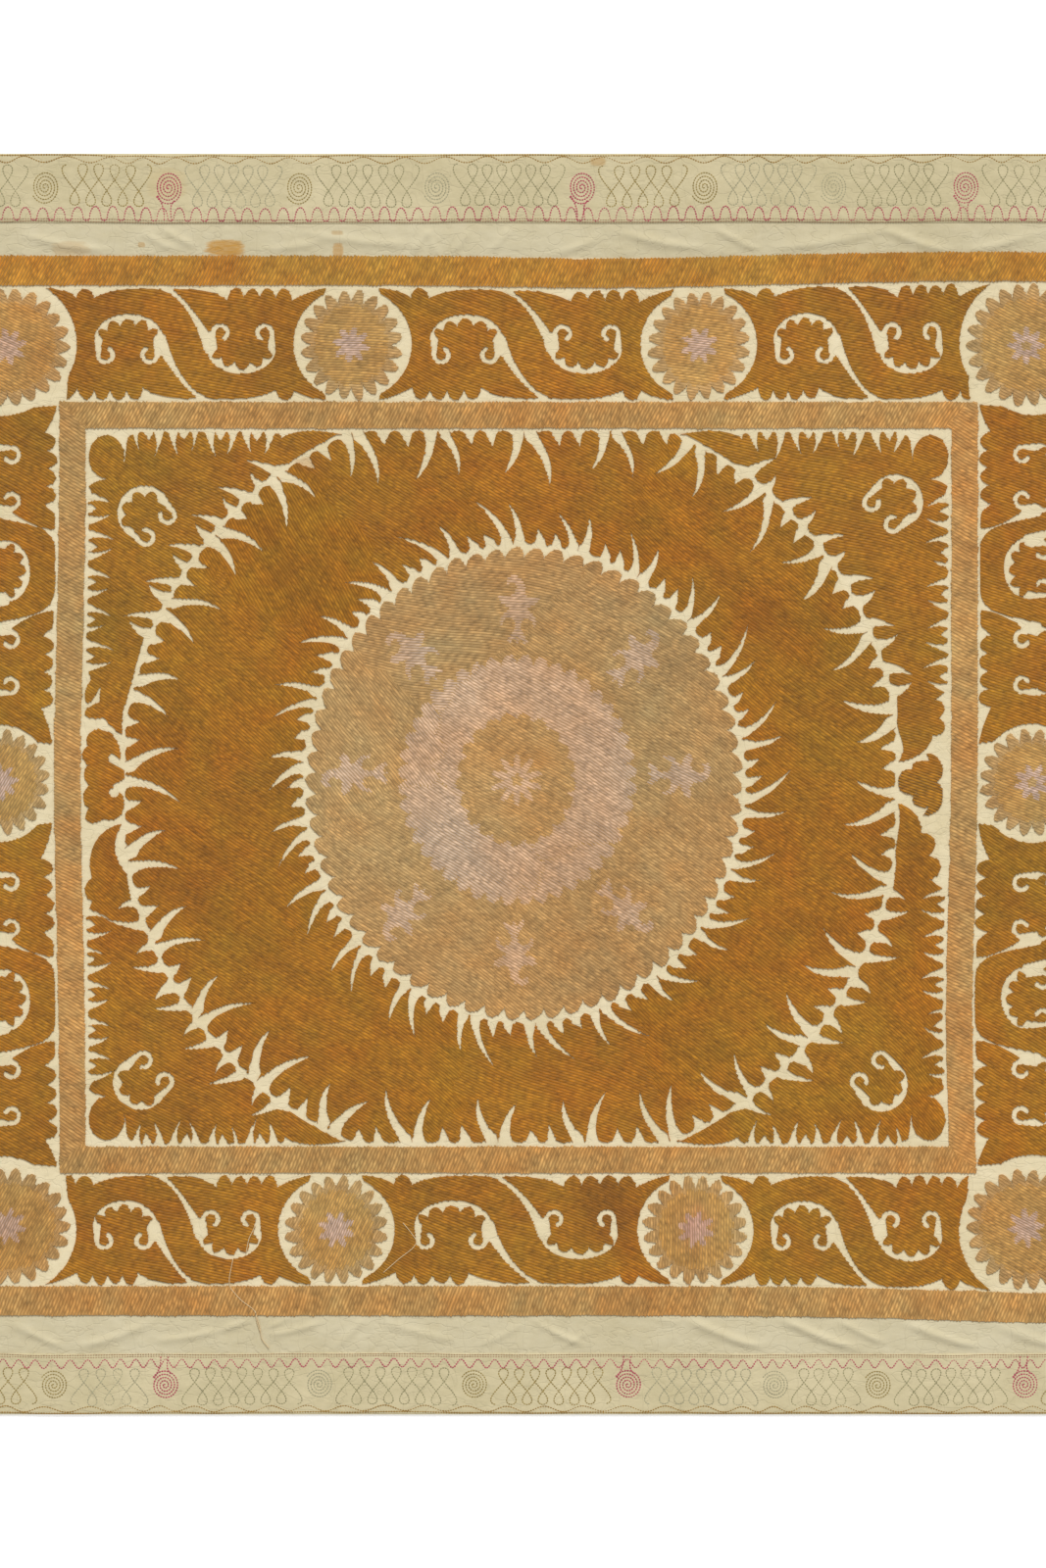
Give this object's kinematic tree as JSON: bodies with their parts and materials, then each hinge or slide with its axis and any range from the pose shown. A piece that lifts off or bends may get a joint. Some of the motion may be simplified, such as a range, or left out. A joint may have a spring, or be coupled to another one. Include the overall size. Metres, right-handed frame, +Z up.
{
  "type": "suzani embroidered textile",
  "caption": "Flat rectangular cotton cloth with a scalloped medallion, thorned wreath, scroll border and rosettes in laid thread, inside sewn-on trims.",
  "frame": {"origin": "middle of the cloth's underside, on the surface it lies on", "axes": "+X along the long side to the right of the picture, +Y along the short side to the top of the picture, +Z up out of the face"},
  "size_m": [1.61, 1.45, 0.0057],
  "materials": {
    "ground_cotton": "plain woven cream cotton, slightly puckered",
    "trim_cotton": "plain woven greenish beige cotton with chain stitching",
    "brown_silk": "laid and couched thread, golden brown, soft sheen",
    "tan_silk": "laid and couched thread, tan, soft sheen",
    "band_silk": "slanted laid thread, orange tan"
  },
  "bodies": {
    "root": {"band_inner": "band_silk", "band_outer": "band_silk", "corner_field_bottom_left": "brown_silk", "corner_field_bottom_right": "brown_silk", "corner_field_top_left": "brown_silk", "corner_field_top_right": "brown_silk", "flower_left": "brown_silk", "flower_right": "brown_silk", "ground_cloth": "ground_cotton", "medallion": "tan_silk", "rosette_bottom_1": "tan_silk", "rosette_bottom_2": "tan_silk", "rosette_bottom_3": "tan_silk", "rosette_bottom_4": "tan_silk", "rosette_left": "tan_silk", "rosette_right": "tan_silk", "rosette_top_1": "tan_silk", "rosette_top_2": "tan_silk", "rosette_top_3": "tan_silk", "rosette_top_4": "tan_silk", "scroll_bottom_1": "brown_silk", "scroll_bottom_2": "brown_silk", "scroll_bottom_3": "brown_silk", "scroll_left_lower": "brown_silk", "scroll_left_upper": "brown_silk", "scroll_right_lower": "brown_silk", "scroll_right_upper": "brown_silk", "scroll_top_1": "brown_silk", "scroll_top_2": "brown_silk", "scroll_top_3": "brown_silk", "trim_bottom": "trim_cotton", "trim_left": "trim_cotton", "trim_right": "trim_cotton", "trim_top": "trim_cotton", "wreath": "brown_silk"}
  },
  "joints": []
}
